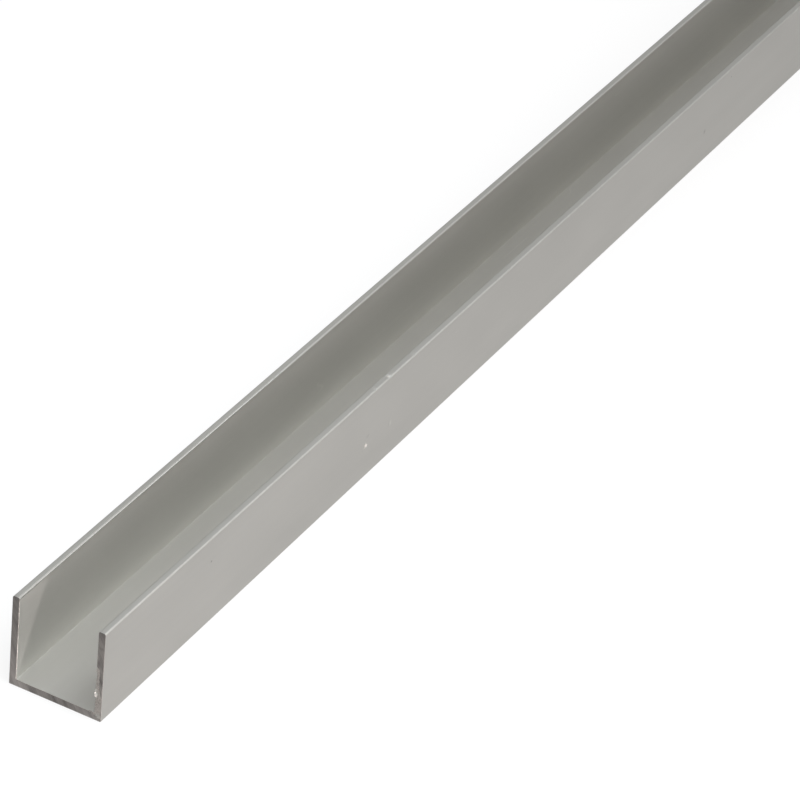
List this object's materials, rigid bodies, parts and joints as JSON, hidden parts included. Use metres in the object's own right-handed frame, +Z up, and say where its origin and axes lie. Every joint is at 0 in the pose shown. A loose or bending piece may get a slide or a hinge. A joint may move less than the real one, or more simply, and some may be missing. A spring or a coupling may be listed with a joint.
{
  "type": "aluminium u channel profile",
  "caption": "Straight square U-section channel in satin anodised aluminium, thin walled and open on top, with plain saw-cut ends.",
  "frame": {"origin": "middle of the web's underside, which is the bottom centre of the whole bar", "axes": "+X along the bar, with the pictured end at -X; +Y across it, from the front flange to the back one; +Z up, out of the channel's open side"},
  "size_m": [1, 0.02, 0.02],
  "materials": {
    "anodised_aluminium": "satin clear anodised, with fine die lines along the bar"
  },
  "bodies": {
    "root": {"channel_profile": "anodised_aluminium"}
  },
  "joints": []
}
